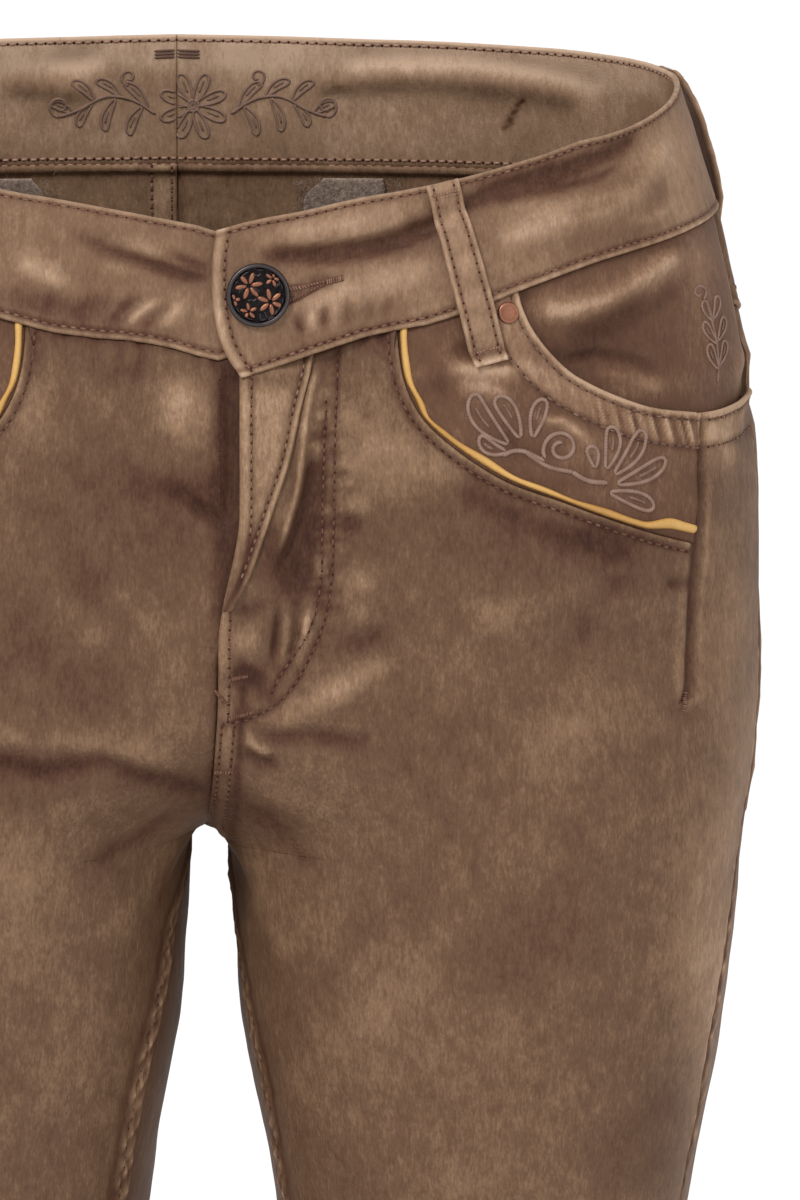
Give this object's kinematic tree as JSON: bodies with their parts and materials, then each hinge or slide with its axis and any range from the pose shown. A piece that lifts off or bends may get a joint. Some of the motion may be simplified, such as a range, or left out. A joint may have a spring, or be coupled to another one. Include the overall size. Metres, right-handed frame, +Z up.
{
  "type": "lederhosen-style slim jeans, filled out as worn",
  "caption": "Low-rise slim jeans in mottled brown sateen with curved embroidered pocket insets, leather piping, lapped fly, shank button and belt loops, held open at the waist.",
  "frame": {"origin": "middle of the waist opening, level with the waist seam over the side seams", "axes": "+Z up, front towards -Y, +X on the wearer's left"},
  "size_m": [0.397, 0.2429, 1.0652],
  "materials": {
    "sateen": "overdyed cotton sateen, mottled, soft sheen",
    "band": "the same sateen, worn lighter on folds",
    "embroidered": "darker sateen with tone-on-tone embroidery",
    "piping": "mustard nappa leather",
    "backing": "fuzzy non-woven",
    "tape": "dark woven zip tape",
    "gunmetal": "dark gunmetal with copper relief",
    "copper": "dull copper"
  },
  "bodies": {
    "root": {"front_left": "sateen", "front_right": "sateen", "back_left": "sateen", "back_right": "sateen", "yoke_left": "sateen", "yoke_right": "sateen", "back_pocket_left": "sateen", "back_pocket_right": "sateen", "waistband_left": "band", "waistband_right": "band", "fly_wedge": "band", "belt_loop_front_left": "band", "belt_loop_front_right": "band", "belt_loop_side_left": "band", "belt_loop_side_right": "band", "belt_loop_back": "band", "pocket_inset_left": "embroidered", "pocket_inset_right": "embroidered", "pocket_facing_left": "embroidered", "pocket_facing_right": "embroidered", "piping_left": "piping", "piping_right": "piping", "embroidery_backing_left": "backing", "embroidery_backing_right": "backing", "zip_tape": "tape", "zip_slider": "gunmetal", "button": "gunmetal", "rivet_left": "copper", "rivet_right": "copper"}
  },
  "joints": []
}
